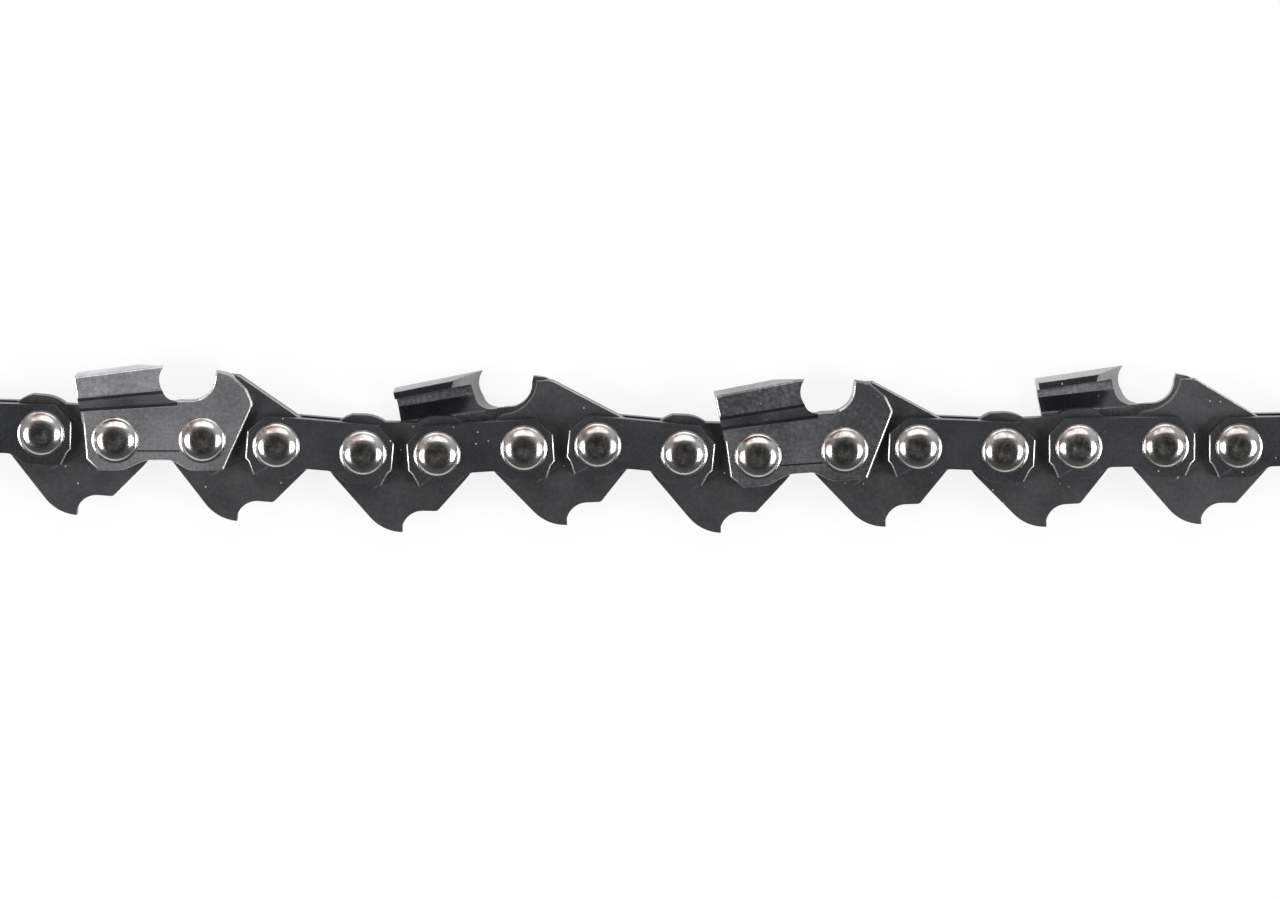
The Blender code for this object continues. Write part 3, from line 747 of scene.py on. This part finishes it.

# %% [markdown]
# ## Cutter
#
# The cutter is the piece that does the work, and the hardest one to model. It is one stamping: a flat base
# with a depth gauge in front, and a tooth whose side is kicked outward and whose top is folded back over
# the chain. Then a round file is laid across it at 30 degrees, and what it takes away leaves the cutting
# edge and the rear of the gullet. The front of the gullet, below the depth gauge, is stamped.
#
# So it is modelled in that order. The base is stamped like the other plates, and a fine groove is
# coined into it between the rivets and painted dark as shade. The tooth is drawn as two sections, one at
# the heel and one past the tip, which Bridge joins into a bent plate. Its side and top are light. The
# rounded bends where it is kicked outward and the free edge of its top are painted dark as shade, and the
# flat between those bends gets a lighter painted shade.
# Base and tooth are joined, and a cylinder with the filed finish cuts them: a Boolean in transfer mode
# gives its finish to the faces that it leaves.

# %% Sizes of the cutter
TIP_HEIGHT, HEEL_HEIGHT = 7.8 * mm, 6.6 * mm
TIP_AHEAD, HEEL_BACK, HEEL_ROOT = 5.25 * mm, 4.05 * mm, 3.52 * mm
REACH, TOP_WIDTH = 3.6 * mm, 4.7 * mm
KICK_HEEL, KICK_FRONT, ROOT_AHEAD = 3.0 * mm, 3.6 * mm, 6.4 * mm
ROOT_DEPTH, INSET, BEND_OVERLAP = 1.3 * mm, 0.02 * mm, 0.15 * mm
CUTTER_BEVEL, HEEL_BEVEL = 0.24 * mm, 0.16 * mm
SIDE_RELIEF, KICK_ROUND, INNER_ROUND = math.radians(1.5), 0.9 * mm, 0.6 * mm
TOP_THICK, TOP_EDGE_THICK, SIDE_THICK = 1.1 * mm, 0.7 * mm, 1.26 * mm
INNER_KICK = 0.35 * mm
KICK_SHARE_HEEL, KICK_SHARE_FRONT = 0.36, 0.39
SHADE_INDEX, HALF_SHADE_INDEX = 2, 3
FILE_RADIUS, FILE_ANGLE = 2.4 * mm, math.radians(30)
FILE_SIDES, FILE_LENGTH = 96, 30 * mm
FILE_HEIGHT = TIP_HEIGHT - 0.6 * FILE_RADIUS
GULLET_FLOOR = FILE_HEIGHT - FILE_RADIUS + 0.1 * mm


def top_height(ahead):
    return HEEL_HEIGHT + (TIP_HEIGHT - HEEL_HEIGHT) * (ahead + HEEL_BACK) / (TIP_AHEAD + HEEL_BACK)


def heel_x(height):
    return -HEEL_ROOT - (HEEL_BACK - HEEL_ROOT) * (height - KICK_HEEL) / (HEEL_HEIGHT - KICK_HEEL)


# %% Stamp the base with its depth gauge
base_top = KICK_HEEL + BEND_OVERLAP
toe = (STRAP_SPACING + 2.12 * mm, FOOT)
nose = (STRAP_SPACING + 5.2425 * mm, 3.65 * mm)
brow = (STRAP_SPACING + 4.62 * mm, 5.15 * mm)
gauge_front, gauge_rear = (STRAP_SPACING + 2.9 * mm, 6.8 * mm), (STRAP_SPACING + 1.48 * mm, 7.1 * mm)
gullet = (STRAP_SPACING - 1.12 * mm, GULLET_FLOOR + FILE_RADIUS)
floor_rear = (TIP_AHEAD, GULLET_FLOOR)
outline = [(heel_x(base_top) + BEND_OVERLAP, base_top), (0.1 * mm - STRAP_END, -2.0 * mm)]
outline += soften(outline[-1], (-1.79 * mm, FOOT), (0, FOOT), 0.3 * mm, 3)
outline += slope((0.2 * mm, FOOT), (3.61 * mm, WAIST), 8)
outline += slope((5.31 * mm, WAIST), (7.925 * mm, FOOT), 8)
outline += soften(outline[-1], toe, nose, 0.25 * mm, 3)
outline += soften(toe, nose, brow, 0.6 * mm, 5) + soften(nose, brow, gauge_front, 2.0 * mm, 5)
outline += soften(brow, gauge_front, gauge_rear, 1.6 * mm, 5) + [gauge_rear]
outline += arc(gullet, FILE_RADIUS, 0, -90, 14)
outline += [floor_rear, (TIP_AHEAD, KICK_FRONT + BEND_OVERLAP)]
cutter = stamp("cutter", outline, STRAP_IN, STRAP_OUT)
cutter.data.materials.append(plated)
cutter.data.materials.append(bare_and_highlight)
cutter.data.materials.append(filed)


def on_cutter_ends(spot):
    """The edges of the heel, of the toe up to the brow, and of the gullet below the gauge."""
    front_line = toe[0] + (nose[0] - toe[0]) * (spot.y - toe[1]) / (nose[1] - toe[1])
    at_front = spot.x > front_line - 0.5 * mm and spot.x > toe[0] and spot.y > FOOT + 0.1 * mm
    at_heel = spot.x < 0.3 * mm - STRAP_END and spot.y > -2.0 * mm
    at_brow = spot.x > brow[0] - 0.2 * mm and spot.y > nose[1]
    under_gauge = gullet[0] + 0.8 * mm < spot.x < gauge_rear[0] + 0.1 * mm
    at_gullet = under_gauge and spot.y > GULLET_FLOOR - 0.1 * mm
    return at_front or at_heel or at_brow or at_gullet


# The bare finish on these edges is bare steel and a painted highlight.
ease_edges(cutter, lambda spot: spot.z > STRAP_OUT - SLACK, CUTTER_BEVEL, on_cutter_ends, 3)
print("base", len(cutter.data.polygons), "faces")

# %% Coin a groove between the rivets
GROOVE_X, GROOVE_Y = 4.40 * mm, -1.15 * mm
GROOVE_LENGTH, GROOVE_WIDTH, GROOVE_DEPTH = 4.4 * mm, 0.16 * mm, 0.05 * mm
GROOVE_ROUND = 0.03 * mm
nothing_selected()
bpy.ops.mesh.primitive_cube_add(size=mm, location=(GROOVE_X, GROOVE_Y, STRAP_OUT))
punch = bpy.context.object
bpy.ops.object.mode_set(mode="EDIT")
bpy.ops.transform.resize(value=(GROOVE_LENGTH / mm, GROOVE_WIDTH / mm, 2 * GROOVE_DEPTH / mm))
bpy.ops.mesh.bevel(offset=GROOVE_ROUND, segments=1, affect="EDGES")
bpy.ops.object.mode_set(mode="OBJECT")
# The punch carries the painted shade, so the groove is painted dark as shade.
punch.data.materials.append(painted_shade)
cut(cutter, punch)

# %% Draw the two sections of the tooth
def section(ahead, kick, kick_share):
    """The bent plate seen from behind, as (side, height) points."""
    top = top_height(ahead)
    side = REACH - (TIP_AHEAD - ahead) * math.tan(SIDE_RELIEF)
    edge, bend_top = side - TOP_WIDTH, kick + kick_share * (top - kick)
    root = (STRAP_OUT - INSET, kick - ROOT_DEPTH)
    low, high, corner = (STRAP_OUT - INSET, kick), (side, bend_top), (side, top)
    outer = [root] + soften(root, low, high, KICK_ROUND) + soften(low, high, corner, KICK_ROUND)
    outer += soften(high, corner, (edge, top), 0.3 * mm)
    outer += soften(corner, (edge, top), (edge, 0), 0.15 * mm, 2)
    deep, inside = side - SIDE_THICK, STRAP_IN + INSET
    under_edge, under_top = (edge, top - TOP_EDGE_THICK), (deep, top - TOP_THICK)
    inner = [under_edge] + soften(under_edge, under_top, (deep, bend_top), 0.5 * mm)
    inner += soften((deep, top), (deep, bend_top + INNER_KICK), (STRAP_IN, kick + INNER_KICK), INNER_ROUND)
    inner += soften((deep, bend_top), (inside, kick + INNER_KICK), (inside, 0), INNER_ROUND)
    return outer + inner + [(inside, kick - ROOT_DEPTH)]


def loop(name, spots):
    """A drawn outline whose two ends are joined by one more edge."""
    drawn = trace(name, spots)
    bpy.ops.mesh.edge_face_add()
    bpy.ops.mesh.delete(type="ONLY_FACE")
    bpy.ops.object.mode_set(mode="OBJECT")
    return drawn


front_section = section(ROOT_AHEAD, KICK_FRONT, KICK_SHARE_FRONT)
heel_section = section(-HEEL_BACK, KICK_HEEL, KICK_SHARE_HEEL)
past_tip = loop("past_tip", [(ROOT_AHEAD, y, z) for z, y in front_section])
tooth = loop("tooth", [(heel_x(y), y, z) for z, y in heel_section])
past_tip.select_set(True)
bpy.ops.object.join()
print("two loops of", len(tooth.data.edges) // 2, "edges")

# %% Bridge them and close the ends
bpy.ops.object.mode_set(mode="EDIT")
bpy.ops.mesh.select_all(action="SELECT")
bpy.ops.mesh.bridge_edge_loops()
bpy.ops.mesh.select_all(action="DESELECT")
bpy.ops.mesh.select_non_manifold()
bpy.ops.mesh.edge_face_add()
bpy.ops.mesh.select_all(action="SELECT")
bpy.ops.mesh.normals_make_consistent(inside=False)
bpy.ops.object.mode_set(mode="OBJECT")
tooth.data.materials.append(tooth_side)
tooth.data.materials.append(bare_and_highlight)


def on_tooth_heel(spot):
    outside = spot.z > STRAP_OUT + 0.8 * mm or spot.y > HEEL_HEIGHT - SLACK and spot.z > -0.9 * mm
    return abs(spot.x - heel_x(spot.y)) < SLACK and spot.y > KICK_HEEL + mm and outside


# The heel's bevel takes the bare finish, a painted highlight on bare steel.
ease_edges(tooth, on_tooth_heel, HEEL_BEVEL, lambda spot: spot.x < heel_x(spot.y) + 0.15 * mm, 3)
# The kicked bends and the free edge of the top are painted dark as shade.
tooth.data.materials.append(painted_shade)
# The flat outside of the kick gets the lighter painted shade.
tooth.data.materials.append(painted_half_shade)
KICK_END, SLANTING, FLAT_SLANT, FACING_LEFT = 5.3 * mm, 0.35, 0.64, -0.9
for face in tooth.data.polygons:
    slanting = abs(face.normal.y) > SLANTING and abs(face.normal.z) > SLANTING
    kicked = slanting and face.center.y < KICK_END
    free_edge = face.normal.z < FACING_LEFT and face.center.z < 0
    if kicked or free_edge:
        flat_outside = kicked and face.normal.z > 0 and abs(face.normal.y) > FLAT_SLANT
        face.material_index = HALF_SHADE_INDEX if flat_outside else SHADE_INDEX
print("tooth", len(tooth.data.polygons), "faces")

# %% Join them and lay the file across
cut(cutter, tooth, "UNION")
half_chord = math.sqrt(FILE_RADIUS ** 2 - (TIP_HEIGHT - FILE_HEIGHT) ** 2) / math.cos(FILE_ANGLE)
nothing_selected()
bpy.ops.mesh.primitive_cylinder_add(
    vertices=FILE_SIDES, radius=FILE_RADIUS, depth=FILE_LENGTH,
    location=(TIP_AHEAD + half_chord, FILE_HEIGHT, REACH), rotation=(0, FILE_ANGLE, 0),
)
round_file = bpy.context.object
round_file.data.materials.append(filed)
cut(cutter, round_file)
print([slot.material.name for slot in cutter.material_slots])
for x in (0.0, STRAP_SPACING):
    drill(cutter, x, STRAP_HOLE)
cutter_mesh = finish(cutter)

# %% [markdown]
# ## Left-hand pieces
#
# The chain's left side has the same pieces, mirrored. A mirrored mesh is inside out, so its normals are
# worked out again.

# %% Mirror the strap and the cutter
def for_the_left(mesh):
    nothing_selected()
    other = bpy.data.objects.new("left_" + mesh.name, mesh.copy())
    scene.collection.objects.link(other)
    only(other)
    bpy.ops.mesh.customdata_custom_splitnormals_clear()
    bpy.ops.object.mode_set(mode="EDIT")
    bpy.ops.mesh.select_all(action="SELECT")
    bpy.ops.transform.resize(value=(1, 1, -1), center_override=(0, 0, 0))
    bpy.ops.mesh.normals_make_consistent(inside=False)
    bpy.ops.object.mode_set(mode="OBJECT")
    return finish(other)


left_strap_mesh, left_cutter_mesh = for_the_left(strap_mesh), for_the_left(cutter_mesh)

# %% [markdown]
# ## Put the pieces in their places
#
# Each copy gets a mesh of its own, moved so that its object can stay at the origin. Before it is moved it
# stores its own coordinates and its tone. Then it takes the place of the plain piece of the same name.

# %% Copy a piece to its place
bodies = {node: body for body, nodes in frame["record"]["behaviour"]["bodies"].items() for node in nodes}


def put(mesh, node, move, tone):
    own = mesh.copy()
    own.name = node
    spots = [value for spot in own.vertices for value in spot.co]
    own.attributes.new("local", "FLOAT_VECTOR", "POINT").data.foreach_set("vector", spots)
    own.attributes.new("tone", "FLOAT", "POINT").data.foreach_set("value", [tone] * len(own.vertices))
    own.transform(move)
    piece = bpy.data.objects.new(f"fine_{node}", own)
    scene.collection.objects.link(piece)
    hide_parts(node)
    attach(piece, bodies[node])


def tone_of(number, spread):
    """A small steady difference between pieces of one kind."""
    return spread * ((number * 7) % 5) / 4


# %% Drive links
LINK_TONES = {1: 0.25, 8: 0.50}
for number in range(1, 9):
    tone = LINK_TONES.get(number, tone_of(number, 0.15))
    if number % 2:
        put(link_mesh, f"drive_link_{number}", link_place(number), tone)
    else:
        put(bumper_mesh, f"bumper_drive_link_{number}", link_place(number), tone)
print("drive links placed")

# %% Straps and cutters
CUTTER_TONES = {1: 0.45, 5: -0.18, 3: -0.12, 7: 0.05}
for number in range(9):
    move = station_place(number)
    if number in (1, 5):
        put(cutter_mesh, f"right_cutter_{number}", move, CUTTER_TONES[number])
    else:
        put(strap_mesh, f"right_tie_strap_{number}", move, tone_of(number, 0.3))
    if number in (3, 7):
        put(left_cutter_mesh, f"left_cutter_{number}", move, CUTTER_TONES[number])
    else:
        put(left_strap_mesh, f"left_tie_strap_{number}", move, tone_of(number + 2, 0.3))
print("straps and cutters placed")

# %% Rivets
for number, spot in rivets.items():
    put(rivet_mesh, f"rivet_{number:02d}", Matrix.Translation(spot), tone_of(number, 0.2))
print("rivets placed")

# %% [markdown]
# ## The two boxes
#
# The dressed chain is meant to be as large as the model under it. Both boxes are printed, so that they
# can be compared.

# %% Print the two boxes
boxes = {"cad": [list(corner) for corner in cad_box], "visual": [list(corner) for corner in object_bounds()]}
for name, (low, high) in boxes.items():
    print(name, [round((b - a) / mm, 2) for a, b in zip(low, high)], "mm")
